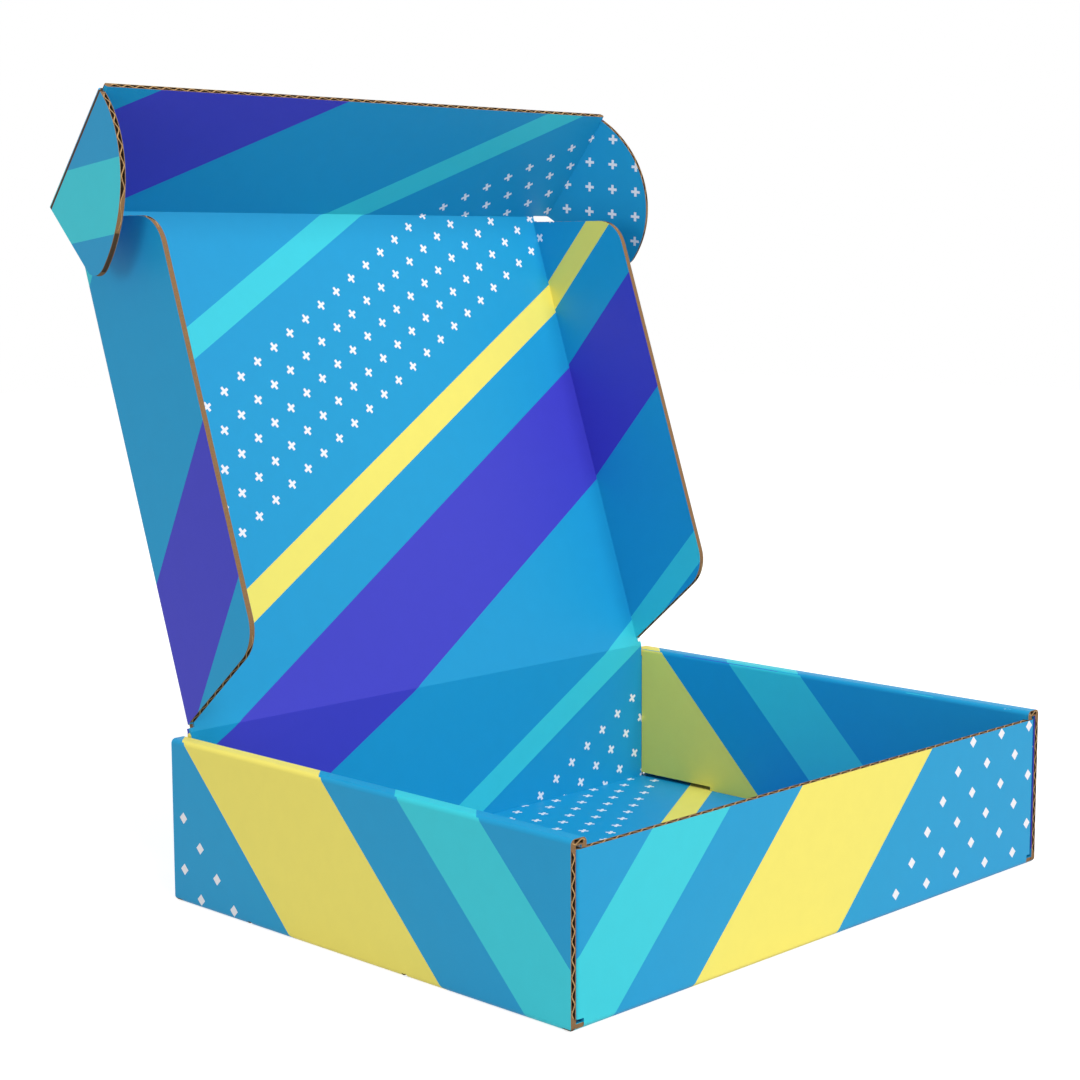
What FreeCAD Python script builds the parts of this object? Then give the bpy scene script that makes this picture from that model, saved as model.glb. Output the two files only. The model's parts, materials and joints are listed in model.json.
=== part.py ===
import FreeCAD, Part
import os
import re

import Sketcher
from FreeCAD import Placement, Rotation, Vector

# A corrugated mailer box, folded from one die-cut blank of single-wall board, in millimetres.
# +X is to the right, +Z is up, and the front wall faces -Y. The origin is the middle of the underside.
# The blank is five solids, parted only at the four creases that move:
# the tray, the lid with its two side flaps, the tuck panel and the tuck panel's two ears.

SIZES = [
    ("box_width", 290.0, "tray over its two rolled side walls"),
    ("box_depth", 222.0, "tray over its front and rear walls"),
    ("side_height", 67.0, "rolled side walls"),
    ("front_height", 63.0, "single front wall, and the corner flaps of both end walls"),
    ("board", 2.5, "thickness of the board"),
    ("layer_gap", 0.15, "air between the layers of a rolled wall"),
    ("fold_radius", 2.0, "outside of a fold in the tray"),
    ("corner_flap_length", 55.0, "corner flap inside a rolled wall, from the end wall's face"),
    ("corner_flap_lift", 1.5, "corner flap above the base"),
    ("corner_notch", 6.4, "from the tray's side to the end wall's own foot"),
    ("cut_edge_recess", 0.4, "base's cut edge in the corner notch, behind the end wall's face"),
    ("roll_foot_gap", 1.8, "rolled-in panel above the base"),
    ("roll_head_gap", 0.3, "rolled-in panel above the end walls' corners"),
    ("tab_start", 26.0, "from the middle of the side to the nearer end of a lock tab"),
    ("tab_length", 38.0, "lock tab on the rolled-in panel"),
    ("tab_floor_gap", 0.4, "lock tab above the underside"),
    ("slot_clearance", 0.3, "lock slot around its tab"),
    ("nick_width", 2.5, "nick in the side fold at the rear end of each lock slot"),
    ("nick_height", 1.2, "height of that nick"),
    ("lid_rest_gap", 0.3, "closed lid above the side walls"),
    ("lid_side_gap", 0.3, "folded side flap in from the rolled wall"),
    ("tuck_front_gap", 0.4, "closed tuck panel in front of the front wall"),
    ("ear_side_gap", 0.3, "folded ear out from the side wall"),
    ("crease_gap", 0.4, "from a crease line to the edge of the board beside it"),
    ("crease_web", 0.5, "thickness of the board where a crease crushes it"),
    ("flap_depth", 54.5, "lid side flap, from its crease"),
    ("flap_corner_radius", 16.0, "free corners of a lid side flap"),
    ("flap_end_gap", 3.0, "side flap's crease short of the lid's creases"),
    ("flap_rear_lean", 22.0, "degrees that a side flap's rear edge leans in"),
    ("flap_front_lean", 19.0, "degrees that a side flap's front edge leans in"),
    ("tuck_length", 62.5, "tuck panel, from its crease"),
    ("ear_depth", 50.0, "ear, from its crease"),
    ("ear_tip_radius", 9.0, "small corner of an ear"),
    ("ear_start", 1.0, "ear beyond the tuck crease"),
    ("ear_end_gap", 2.5, "ear short of the tuck panel's free edge"),
    ("ear_straight", 0.25, "least straight edge left beside an ear's quarter round"),
    ("flute_pitch", 6.35, "from one flute to the next"),
    ("liner", 0.35, "each outer paper of the board"),
    ("flute_wall", 0.4, "waved paper between the liners"),
    ("flute_sight", 4.0, "how deep the flutes are open at a cut edge"),
    ("lid_opening", 109.0, "degrees from the closed lid"),
    ("tuck_fold", 58.0, "degrees between the tuck panel and the lid's plane"),
    ("left_ear_fold", 84.0, "degrees from the tuck panel's plane"),
    ("right_ear_fold", 68.0, "degrees from the tuck panel's plane"),
]

RIGHT, AHEAD, UP = Vector(1, 0, 0), Vector(0, 1, 0), Vector(0, 0, 1)

# coordinates closer than this are the same place
SAME = 0.01

doc = FreeCAD.newDocument("MailerBox")
sheet = doc.addObject("Spreadsheet::Sheet", "Sizes")
for row, (alias, value, note) in enumerate(SIZES, start=1):
    sheet.set(f"A{row}", note)
    sheet.set(f"B{row}", str(value))
    sheet.setAlias(f"B{row}", alias)

# sizes that follow from the ones above
DERIVED = [
    ("roll_width", "3 * board + 2 * layer_gap", "outer panel, corner flap and rolled-in panel"),
    ("roll_inside", "box_width / 2 - roll_width", "from the middle to a rolled wall's inner face"),
    ("roll_foot", "board + roll_foot_gap", "lower edge of the rolled-in panel"),
    ("corner_half", "box_width / 2 - board - layer_gap", "from the middle to a corner flap's outer face"),
    ("corner_foot", "board + corner_flap_lift", "lower edge of a corner flap"),
    ("foot_half", "box_width / 2 - corner_notch", "from the middle to the end of an end wall's foot"),
    ("crease_crush", "(board - crease_web) / 2", "bevel on both faces along a crease"),
    ("lid_crease_z", "side_height + lid_rest_gap + board / 2", "height of the lid's crease"),
    ("lid_crease_y", "(box_depth - board) / 2", "how far back the lid's crease lies"),
    ("lid_length", "box_depth + tuck_front_gap", "from the lid's crease to the tuck crease"),
    ("flap_crease_x", "roll_inside - lid_side_gap - board / 2", "from the middle to a side flap's crease"),
    ("ear_crease_x", "box_width / 2 + ear_side_gap + board / 2", "from the middle to an ear's crease"),
]
for row, (alias, formula, note) in enumerate(DERIVED, start=len(SIZES) + 1):
    sheet.set(f"A{row}", note)
    sheet.set(f"B{row}", f"={formula}")
    sheet.setAlias(f"B{row}", alias)
doc.recompute()


def size(alias):
    """The value of a cell, as a plain number."""
    return float(getattr(sheet, alias))


def bound(formula):
    """A formula in the sheet's aliases, as an expression that other objects can use."""
    return re.sub(r"\b([a-z]+(_[a-z]+)*)\b(?!\()", r"Sizes.\1", formula)


def value_of(formula):
    """What a formula in the sheet's aliases comes to."""
    return float(sheet.evalExpression(bound(formula)))


def new_body(name):
    body = doc.addObject("PartDesign::Body", name)
    doc.recompute()
    return body


def outline(body, name, role, loops, lift="0"):
    """A sketch of closed loops on one of the body's origin planes, each corner bound to two formulas."""
    sketch = body.newObject("Sketcher::SketchObject", name)
    plane = next(o for o in body.Origin.OriginFeatures if o.Role == role)
    sketch.AttachmentSupport = [(plane, "")]
    sketch.MapMode = "FlatFace"
    sketch.setExpression("AttachmentOffset.Base.z", bound(lift))
    for corners in loops:
        first = sketch.GeometryCount
        places = [Vector(value_of(across), value_of(up), 0) for across, up in corners]
        for start, end in zip(places, places[1:] + places[:1]):
            sketch.addGeometry(Part.LineSegment(start, end), False)
        for i, (corner, place) in enumerate(zip(corners, places)):
            after = first + (i + 1) % len(corners)
            sketch.addConstraint(Sketcher.Constraint("Coincident", first + i, 2, after, 1))
            for kind, formula, value in zip(("DistanceX", "DistanceY"), corner, place):
                number = sketch.addConstraint(Sketcher.Constraint(kind, -1, 1, first + i, 1, value))
                sketch.setExpression(f"Constraints[{number}]", bound(formula))
    return sketch


def pad(body, sketch, length, midplane=False):
    feature = body.newObject("PartDesign::Pad", "Pad" + sketch.Name)
    feature.Profile = sketch
    feature.Midplane = midplane
    feature.setExpression("Length", bound(length))
    doc.recompute()
    return feature


def pocket(body, sketch, length, midplane=False):
    """Cuts the sketch's loops upward from its plane, or both ways, and makes sure that something went."""
    before = body.Shape.Volume
    feature = body.newObject("PartDesign::Pocket", "Pocket" + sketch.Name)
    feature.Profile = sketch
    feature.Reversed = True
    feature.Midplane = midplane
    feature.setExpression("Length", bound(length))
    doc.recompute()
    if body.Shape.Volume >= before:
        raise RuntimeError(f"{feature.Name} cuts nothing")
    return feature


def dress(body, kind, amount, wanted):
    """A Fillet or Chamfer, sized by a formula, on the edges whose two ends pass the test."""
    base = body.Tip
    edges = [
        f"Edge{i}"
        for i, edge in enumerate(body.Shape.Edges, start=1)
        if len(edge.Vertexes) == 2 and wanted(edge.Vertexes[0].Point, edge.Vertexes[1].Point)
    ]
    if not edges:
        raise RuntimeError(f"no edges for a {kind} on {body.Name}")
    feature = body.newObject(f"PartDesign::{kind}", f"{kind}{len(body.Group)}{body.Name}")
    feature.Base = (base, edges)
    feature.setExpression("Radius" if kind == "Fillet" else "Size", bound(amount))
    doc.recompute()
    if "Invalid" in feature.State:
        raise RuntimeError(f"{feature.Name} failed")
    return feature


def near(a, b):
    return abs(a - b) < SAME


def rectangle(x_low, x_high, y_low, y_high):
    return [(x_low, y_low), (x_high, y_low), (x_high, y_high), (x_low, y_high)]


def mirrored(corners):
    """The same loop on the other side of the sketch's upright axis."""
    return [(f"-({across})", up) for across, up in corners]


def turned_over(corners):
    """The same loop on the other side of the sketch's level axis."""
    return [(across, f"-({up})") for across, up in corners]


def tray():
    """The base with its rolled side walls, then the end walls whose corner flaps run inside the rolls."""
    body = new_body("TrayBoard")
    side = [
        ("box_width / 2", "0"),
        ("box_width / 2", "side_height"),
        ("roll_inside", "side_height"),
        ("roll_inside", "roll_foot"),
        ("roll_inside + board", "roll_foot"),
        ("roll_inside + board", "side_height - board"),
        ("box_width / 2 - board", "side_height - board"),
        ("box_width / 2 - board", "board"),
    ]
    section = side + [(f"-({across})", up) for across, up in reversed(side)]
    pad(body, outline(body, "RolledSection", "XZ_Plane", [section]), "box_depth", midplane=True)
    half_width, half_depth = size("box_width") / 2, size("box_depth") / 2
    top = size("side_height")

    def fold(a, b):
        along = near(a.x, b.x) and near(a.z, b.z) and not near(a.y, b.y)
        outer = near(abs(a.x), half_width) and (near(a.z, 0) or near(a.z, top))
        end = near(abs(a.y), half_depth) and near(a.y, b.y) and near(a.z, 0) and near(b.z, 0)
        return end or along and (outer or near(abs(a.x), size("roll_inside")) and near(a.z, top))

    dress(body, "Fillet", "fold_radius", fold)

    slot = rectangle(
        "roll_inside - slot_clearance", "roll_inside + board + slot_clearance",
        "tab_start - slot_clearance", "tab_start + tab_length + slot_clearance",
    )
    slots = [slot, mirrored(slot), turned_over(slot), mirrored(turned_over(slot))]
    pocket(body, outline(body, "LockSlots", "XY_Plane", slots), "board")
    nicks = [
        rectangle("roll_inside + board", "box_width / 2 + board", f"{end} - nick_width", end)
        for end in ("tab_start + tab_length", "-tab_start")
    ]
    nicks += [mirrored(nick) for nick in nicks]
    pocket(body, outline(body, "FoldNicks", "XY_Plane", nicks), "nick_height")
    tab = rectangle("roll_inside", "roll_inside + board", "tab_start", "tab_start + tab_length")
    tabs = [tab, mirrored(tab), turned_over(tab), mirrored(turned_over(tab))]
    pad(body, outline(body, "LockTabs", "XY_Plane", tabs, "tab_floor_gap"), "roll_foot + board - tab_floor_gap")

    end_zone = rectangle(
        "-(box_width / 2 - board)", "box_width / 2 - board",
        "-box_depth / 2", "-box_depth / 2 + board + layer_gap",
    )
    ends = outline(body, "EndZones", "XY_Plane", [end_zone, turned_over(end_zone)], "board")
    pocket(body, ends, "front_height + roll_head_gap - board")
    corner = rectangle("foot_half", "corner_half", "-box_depth / 2", "-box_depth / 2 + cut_edge_recess")
    corners = [corner, mirrored(corner), turned_over(corner), mirrored(turned_over(corner))]
    pocket(body, outline(body, "CutEdges", "XY_Plane", corners), "board")

    end_wall = [
        ("-corner_half", "-box_depth / 2"),
        ("corner_half", "-box_depth / 2"),
        ("corner_half", "-box_depth / 2 + corner_flap_length"),
        ("corner_half - board", "-box_depth / 2 + corner_flap_length"),
        ("corner_half - board", "-box_depth / 2 + board"),
        ("-(corner_half - board)", "-box_depth / 2 + board"),
        ("-(corner_half - board)", "-box_depth / 2 + corner_flap_length"),
        ("-corner_half", "-box_depth / 2 + corner_flap_length"),
    ]
    walls = outline(body, "EndWalls", "XY_Plane", [end_wall, turned_over(end_wall)], "corner_foot")
    pad(body, walls, "front_height - corner_foot")
    dress(
        body, "Fillet", "fold_radius",
        lambda a, b: near(abs(a.x), size("corner_half")) and near(a.x, b.x)
        and near(abs(a.y), half_depth) and near(a.y, b.y) and min(a.z, b.z) > size("board"),
    )
    foot = rectangle("-foot_half", "foot_half", "-box_depth / 2", "-box_depth / 2 + board")
    pad(body, outline(body, "Feet", "XY_Plane", [foot, turned_over(foot)], "board"), "corner_foot")

    rear = [
        ("box_depth / 2 - board", "corner_foot"),
        ("box_depth / 2", "corner_foot"),
        ("box_depth / 2", "lid_crease_z - crease_gap - crease_crush"),
        ("lid_crease_y + crease_web / 2", "lid_crease_z - crease_gap"),
        ("lid_crease_y - crease_web / 2", "lid_crease_z - crease_gap"),
        ("box_depth / 2 - board", "lid_crease_z - crease_gap - crease_crush"),
    ]
    pad(body, outline(body, "RearRise", "YZ_Plane", [rear]), "2 * (roll_inside - lid_side_gap)", midplane=True)
    return body


def lid():
    """The lid, flat, from its crease on the tray to the tuck crease, its inner face and its flaps at +Z."""
    body = new_body("LidBoard")
    out, inner = "flap_crease_x + board / 2", "flap_crease_x - board / 2"
    section = [
        (f"-({out})", "-board / 2"),
        (out, "-board / 2"),
        (out, "flap_depth"),
        (inner, "flap_depth"),
        (inner, "board / 2"),
        (f"-({inner})", "board / 2"),
        (f"-({inner})", "flap_depth"),
        (f"-({out})", "flap_depth"),
    ]
    folded = outline(body, "LidSection", "XZ_Plane", [section], "-(lid_length - crease_gap)")
    pad(body, folded, "lid_length - 2 * crease_gap")
    half_board, outer = size("board") / 2, value_of(out)
    dress(body, "Fillet", "fold_radius", lambda a, b: near(a.z, -half_board) and near(b.z, -half_board)
          and near(abs(a.x), outer) and near(a.x, b.x))

    top = "flap_depth + board"
    rear_end = [
        ("crease_gap - board", "board / 2"),
        ("flap_end_gap + board / 2 * tan(flap_rear_lean)", "board / 2"),
        (f"flap_end_gap + ({top}) * tan(flap_rear_lean)", top),
        ("crease_gap - board", top),
    ]
    front_end = [
        ("lid_length - crease_gap + board", "board / 2"),
        ("lid_length - crease_gap + board", top),
        (f"lid_length - flap_end_gap - ({top}) * tan(flap_front_lean)", top),
        ("lid_length - flap_end_gap - board / 2 * tan(flap_front_lean)", "board / 2"),
    ]
    ends = outline(body, "FlapEnds", "YZ_Plane", [rear_end, front_end])
    pocket(body, ends, "box_width", midplane=True)
    rear_notch = rectangle("flap_crease_x - crease_gap", "flap_crease_x + board", "crease_gap - board", "flap_end_gap")
    front_notch = rectangle(
        "flap_crease_x - crease_gap", "flap_crease_x + board",
        "lid_length - flap_end_gap", "lid_length - crease_gap + board",
    )
    notches = [rear_notch, mirrored(rear_notch), front_notch, mirrored(front_notch)]
    pocket(body, outline(body, "ReliefNotches", "XY_Plane", notches, "-board"), "2 * board")

    tips = size("flap_depth")
    dress(body, "Fillet", "flap_corner_radius",
          lambda a, b: near(a.z, tips) and near(b.z, tips) and near(a.y, b.y))
    creases = size("crease_gap"), value_of("lid_length - crease_gap")
    dress(body, "Chamfer", "crease_crush", lambda a, b: near(abs(a.z), half_board) and near(a.z, b.z)
          and near(a.y, b.y) and any(near(a.y, crease) for crease in creases))
    return body


def crease_edges(body):
    """Crushes the board along the crease at the body's Y axis."""
    gap = size("crease_gap")
    dress(
        body, "Chamfer", "crease_crush",
        lambda a, b: near(abs(a.x), gap) and near(abs(b.x), gap) and near(a.z, b.z),
    )


def tuck_panel():
    """The tuck panel, flat, from its crease on the lid to its free edge."""
    body = new_body("TuckBoard")
    panel = rectangle("-(ear_crease_x - crease_gap)", "ear_crease_x - crease_gap", "crease_gap", "tuck_length")
    pad(body, outline(body, "TuckOutline", "XY_Plane", [panel]), "board", midplane=True)
    free_edge = size("tuck_length")
    dress(
        body, "Chamfer", "crease_crush",
        lambda a, b: near(a.z, b.z) and not (near(a.y, free_edge) and near(b.y, free_edge)),
    )
    return body


def ear(name, side):
    """An ear of the tuck panel: a quarter round with a small round corner towards the lid."""
    body = new_body(name)
    corners = rectangle("crease_gap", "ear_depth", "ear_start", "tuck_length - ear_end_gap")
    if side < 0:
        corners = mirrored(corners)
    pad(body, outline(body, name + "Outline", "XY_Plane", [corners]), "board", midplane=True)
    near_lid, depth = size("ear_start"), size("ear_depth")

    def tip(a, b):
        return near(abs(a.x), depth) and near(abs(b.x), depth) and near(a.y, b.y)

    dress(body, "Fillet", "ear_tip_radius", lambda a, b: tip(a, b) and near(a.y, near_lid))
    dress(
        body, "Fillet",
        "min(ear_depth - crease_gap; tuck_length - ear_end_gap - ear_start - ear_tip_radius) - ear_straight",
        lambda a, b: tip(a, b) and not near(a.y, near_lid),
    )
    crease_edges(body)
    return body


def cut_ends(shape, along):
    """A function that says where a line through a point leaves the shape, as two distances from the point."""
    length = shape.BoundBox.DiagonalLength

    def reach(centre):
        line = Part.makeLine(centre - along * length, centre + along * length)
        inside = [(vertex.Point - centre).dot(along) for vertex in shape.common(line).Vertexes]
        return (min(inside), max(inside)) if inside else None

    return reach


def flute_cell(reach, centre, across, through, along, end):
    """One hollow between the waved paper and a liner, open at one cut end of the board."""
    half_inner = size("board") / 2 - size("liner")
    half_base = (size("flute_pitch") - 2 * size("flute_wall")) / 2
    apex = half_inner - size("flute_wall")
    reaches = [reach(centre + across * shift) for shift in (-half_base, 0, half_base)]
    if None in reaches:
        return None
    cuts = [low_high[end] for low_high in reaches]
    outward = 1 if end else -1
    outermost = max(cuts, key=lambda cut: cut * outward)
    innermost = min(cuts, key=lambda cut: cut * outward)
    # where the cut runs nearly along the flutes, it shows no waves
    if abs(outermost - innermost) > 2 * size("flute_sight"):
        return None
    start = centre + along * (innermost - outward * size("flute_sight"))
    depth = abs(outermost - innermost) + size("flute_sight") + size("board")
    corners = [
        start - across * half_base - through * half_inner,
        start + across * half_base - through * half_inner,
        start + through * apex,
    ]
    face = Part.Face(Part.makePolygon(corners + corners[:1]))
    return face.extrude(along * (outward * depth))


def flutes(reach, first, across, through, along, run, ends=(0, 1)):
    """The open flutes along a cut edge: alternate cells against one liner and the other.

    reach gives the board's two cut ends, first is a point in mid-thickness at the start of the edge,
    and run is the edge's length.
    """
    pitch = size("flute_pitch")
    count = int(run / pitch)
    margin = (run - count * pitch) / 2 + pitch / 4
    cells = []
    for i in range(2 * count):
        centre = first + across * (margin + i * pitch / 2)
        facing = through if i % 2 else through * -1
        cells += [flute_cell(reach, centre, across, facing, along, end) for end in ends]
    return [cell for cell in cells if cell]


def with_flutes(name, body, cells):
    """The board with its open flutes cut away, as the sub-part that is written."""
    tool = doc.addObject("Part::Feature", name + "_flutes")
    tool.Shape = Part.makeCompound(cells)
    cut = doc.addObject("Part::Cut", name)
    cut.Base = body
    cut.Tool = tool
    doc.recompute()
    if cut.Shape.Volume >= body.Shape.Volume:
        raise RuntimeError(f"{name} has no open flutes")
    return cut


def tray_flutes():
    """Front wall's top edge, and both ends of the side walls' outer panels, strips and rolled-in panels."""
    half_width, half_depth = size("box_width") / 2, size("box_depth") / 2
    board, middle, top = size("board"), size("board") / 2, size("side_height")
    front_start = Vector(-size("foot_half"), middle - half_depth, size("front_height"))
    cells = flutes(lambda _: (0, 0), front_start, RIGHT, AHEAD, UP, 2 * size("foot_half"), ends=(1,))
    for side in (-1, 1):
        outer = Vector(side * (half_width - middle), 0, board)
        cells += flutes(lambda _: (-half_depth, half_depth), outer, UP, RIGHT, AHEAD, top - 2 * board)
        roll_middle = side * (half_width - size("roll_width") / 2)
        strip = Vector(roll_middle - size("flute_pitch") / 2, 0, top - middle)
        strip_cells = flutes(lambda _: (-half_depth, half_depth), strip, RIGHT, UP, AHEAD, size("flute_pitch"))
        # between the two round folds, so that the printed liner stays whole over them
        half_strip = size("roll_width") / 2 - board + 2 * size("liner")
        between = Part.makeBox(
            2 * half_strip, 4 * half_depth, 2 * board, Vector(roll_middle - half_strip, -2 * half_depth, top - 2 * board)
        )
        cells += [cell.common(between) for cell in strip_cells]
    return cells


def lid_flutes(shape):
    """Both slanting ends of the lid's side flaps, whose flutes run along their creases."""
    start = size("crease_gap") + size("crease_crush")
    cells = []
    for side in (-1, 1):
        first = Vector(side * size("flap_crease_x"), 0, start)
        cells += flutes(cut_ends(shape, AHEAD), first, UP, RIGHT, AHEAD, size("flap_depth") - size("board"))
    return cells


def ear_flutes(shape, side):
    """The straight end and the curved end of an ear."""
    start = Vector(side * (size("crease_gap") + size("crease_crush")), 0, 0)
    return flutes(cut_ends(shape, AHEAD), start, RIGHT * side, UP, AHEAD, size("ear_depth") - size("board"))


def turned(axis, degrees):
    return Placement(Vector(), Rotation(axis, degrees))


def moved(x=0.0, y=0.0, z=0.0):
    return Placement(Vector(x, y, z), Rotation())


lid_place = moved(0, size("lid_crease_y"), size("lid_crease_z")) * turned(RIGHT, 180 - size("lid_opening"))
tuck_place = lid_place * moved(y=size("lid_length")) * turned(RIGHT, size("tuck_fold"))

tray_board = tray()
parts = {"tray": with_flutes("tray", tray_board, tray_flutes())}
lid_board = lid()
parts["lid"] = with_flutes("lid", lid_board, lid_flutes(lid_board.Shape))
parts["lid"].Placement = lid_place
tuck_board = tuck_panel()
tuck_half = size("ear_crease_x") - size("crease_gap") - size("crease_crush")
tuck_start = Vector(-tuck_half, size("tuck_length"), 0)
tuck_cells = flutes(lambda _: (0, 0), tuck_start, RIGHT, UP, AHEAD, 2 * tuck_half, ends=(1,))
parts["tuck_panel"] = with_flutes("tuck_panel", tuck_board, tuck_cells)
parts["tuck_panel"].Placement = tuck_place

for word, side in (("left", -1), ("right", 1)):
    name = f"tuck_{word}_ear"
    flat_ear = ear(name.title().replace("_", ""), side)
    parts[name] = with_flutes(name, flat_ear, ear_flutes(flat_ear.Shape, side))
    fold = turned(AHEAD, -side * size(f"{word}_ear_fold"))
    parts[name].Placement = tuck_place * moved(x=side * size("ear_crease_x")) * fold

doc.recompute()
for item in doc.Objects:
    if {"Invalid", "Error"} & set(item.State):
        raise RuntimeError(f"{item.Name} failed: {item.State}")
os.makedirs("parts", exist_ok=True)
for name, part in parts.items():
    part.Label = name
    if part.Shape.isNull() or not part.Shape.isValid() or len(part.Shape.Solids) != 1:
        raise RuntimeError(f"{name} is not one valid solid")
    part.Shape.exportStep(f"parts/{name}.step")
    print(name, round(part.Shape.Volume / 1000, 2), "cm3,", len(part.Shape.Faces), "faces")
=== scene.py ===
import json
import math
import bpy
from mathutils import Matrix, Quaternion, Vector
from mathutils.bvhtree import BVHTree

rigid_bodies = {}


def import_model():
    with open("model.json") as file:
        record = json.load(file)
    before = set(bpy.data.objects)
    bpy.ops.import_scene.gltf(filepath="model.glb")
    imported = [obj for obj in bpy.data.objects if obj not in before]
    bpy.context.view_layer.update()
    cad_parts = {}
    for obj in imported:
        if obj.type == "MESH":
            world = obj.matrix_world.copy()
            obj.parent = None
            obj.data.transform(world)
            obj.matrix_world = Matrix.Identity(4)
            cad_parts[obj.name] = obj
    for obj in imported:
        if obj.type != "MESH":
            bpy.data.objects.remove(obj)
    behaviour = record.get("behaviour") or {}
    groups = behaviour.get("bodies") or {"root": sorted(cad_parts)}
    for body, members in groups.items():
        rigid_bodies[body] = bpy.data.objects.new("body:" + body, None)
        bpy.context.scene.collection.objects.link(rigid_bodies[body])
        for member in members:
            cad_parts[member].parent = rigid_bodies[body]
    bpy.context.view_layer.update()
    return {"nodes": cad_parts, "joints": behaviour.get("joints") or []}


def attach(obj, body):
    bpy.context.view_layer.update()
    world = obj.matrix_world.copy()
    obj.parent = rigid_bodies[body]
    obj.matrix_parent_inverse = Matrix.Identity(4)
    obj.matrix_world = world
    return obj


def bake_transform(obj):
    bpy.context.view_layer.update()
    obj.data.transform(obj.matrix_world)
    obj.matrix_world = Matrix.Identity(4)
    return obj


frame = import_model()

# %% [markdown]
# A corrugated mailer box, open, with its lid leaning back.
# The real one is a single die-cut sheet of corrugated board, printed on both faces and folded up.
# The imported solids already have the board's thickness, its folds and the open flutes at its cut edges,
# so they stay. What is added here is the print, the paper look of the cut edges, the waved paper
# inside them, and the creases on which the lid, the tuck panel and its ears turn.

# %% Sizes in millimetres
MM = 0.001
BOARD = 2.5
LINER = 0.35
WAVED_PAPER = 0.4
FLUTE_PITCH = 6.35
TRAY_HALF_WIDTH, TRAY_HALF_DEPTH = 145.0, 111.0
SIDE_HEIGHT, FRONT_HEIGHT = 67.0, 63.0
ROLL_WIDTH = 7.8
END_WALL_HALF = TRAY_HALF_WIDTH - 6.4
FLAP_LINE = 135.65
joints = {joint["name"]: joint for joint in frame["joints"]}
print("joints:", ", ".join(f"{name} {joint['range_deg']}" for name, joint in joints.items()))

# %% [markdown]
# Each folded panel has its own frame: x across it, y away from its crease, z towards the inside print.
# They are built up as the box is folded: the lid turns on the rear wall, the tuck panel on the lid
# and the ears on the tuck panel. The hinges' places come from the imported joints.

# %% Frames of the folded panels
def pivot(joint):
    return Vector(joints[joint]["pos_m"])


def fold_at_rest(joint):
    """Degrees by which a panel is folded up from its neighbour's plane: its joint opens it flat."""
    return joints[joint]["range_deg"][1]


def panel_frame(origin, across, away):
    matrix = Matrix((across, away, across.cross(away))).transposed().to_4x4()
    matrix.translation = origin
    return matrix


RIGHT = Vector((1, 0, 0))
lid_away = (pivot("tuck_crease") - pivot("lid_crease")).normalized()
tuck_away = Vector(joints["right_ear_crease"]["axis"]).normalized()
panels = {
    "lid": panel_frame(pivot("lid_crease"), RIGHT, lid_away),
    "tuck_panel": panel_frame(pivot("tuck_crease"), RIGHT, tuck_away),
}
ears = (("tuck_left_ear", "left_ear_crease", -1), ("tuck_right_ear", "right_ear_crease", 1))
for node, joint, side in ears:
    turn = Matrix.Rotation(math.radians(-side * fold_at_rest(joint)), 4, "Y")
    panels[node] = Matrix.Translation(pivot(joint)) @ panels["tuck_panel"].to_3x3().to_4x4() @ turn
lid_length = (pivot("tuck_crease") - pivot("lid_crease")).length / MM
ear_line = pivot("right_ear_crease").x / MM
print(f"lid {lid_length:.1f} mm long, ear creases at {ear_line:.2f} mm")

# %% [markdown]
# The print was made on the flat sheet, so it is drawn here once for each face, in millimetres on that
# sheet: u across the box and v along it, with v = 0 on the lid's crease. Every panel then reads its own
# part of the sheet, and a shape that crosses a fold runs on round it as on the real box.
# The pattern is a plain repeat: slanting bands of flat colour, with a field of small crosses or squares
# between them.

# %% A node with its settings and links
def add_node(tree, kind, inputs=None, output=0, **settings):
    """Adds a shader node, gives it its settings, fills or links its inputs, and returns one output."""
    node = tree.nodes.new("ShaderNode" + kind)
    for name, value in settings.items():
        setattr(node, name, value)
    for name, value in (inputs or {}).items():
        if isinstance(value, bpy.types.NodeSocket):
            tree.links.new(value, node.inputs[name])
        else:
            node.inputs[name].default_value = value
    return node.outputs[output]


def ink(hex_code):
    """An sRGB hex colour as Blender's linear colour."""
    parts = [int(hex_code[i:i + 2], 16) / 255 for i in (1, 3, 5)]
    return (*(c / 12.92 if c <= 0.04045 else ((c + 0.055) / 1.055) ** 2.4 for c in parts), 1.0)


# %% Calculations, and shapes that the print is made of
def maths(tree, operation, *values):
    """A calculation on numbers, by Blender's name for it."""
    return add_node(tree, "Math", dict(enumerate(values)), operation=operation)


def combined(tree, operation, *masks):
    """Masks multiplied (in all of them) or joined by maximum (in any of them)."""
    result = masks[0]
    for mask in masks[1:]:
        result = maths(tree, operation, result, mask)
    return result


def below(tree, value, limit):
    return maths(tree, "LESS_THAN", value, limit)


def above(tree, value, limit):
    return maths(tree, "GREATER_THAN", value, limit)


def within(tree, value, low, high):
    return combined(tree, "MULTIPLY", above(tree, value, low), below(tree, value, high))


def chosen(tree, mask, other, value):
    """The value where the mask is 1, and the other where it is 0."""
    return add_node(tree, "Mix", {0: mask, 2: other, 3: value}, 0, data_type="FLOAT")


def tinted(tree, mask, under, over):
    """The colour over where the mask is 1, and the colour under where it is 0."""
    return add_node(tree, "Mix", {0: mask, 6: under, 7: over}, 2, data_type="RGBA")


def mottled(tree, colour, noise, darkest, lightest):
    """A colour made unevenly darker and lighter by a noise, nearly all of which lies from 0.3 to 0.7."""
    tone = add_node(tree, "MapRange", {"Value": noise, "From Min": 0.3, "From Max": 0.7,
                                       "To Min": darkest, "To Max": lightest})
    return add_node(tree, "VectorMath", {0: colour, "Scale": tone}, operation="SCALE")


def axes(tree, point):
    """The x, y and z of a point."""
    split = tree.nodes.new("ShaderNodeSeparateXYZ")
    tree.links.new(point, split.inputs[0])
    return split.outputs


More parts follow.
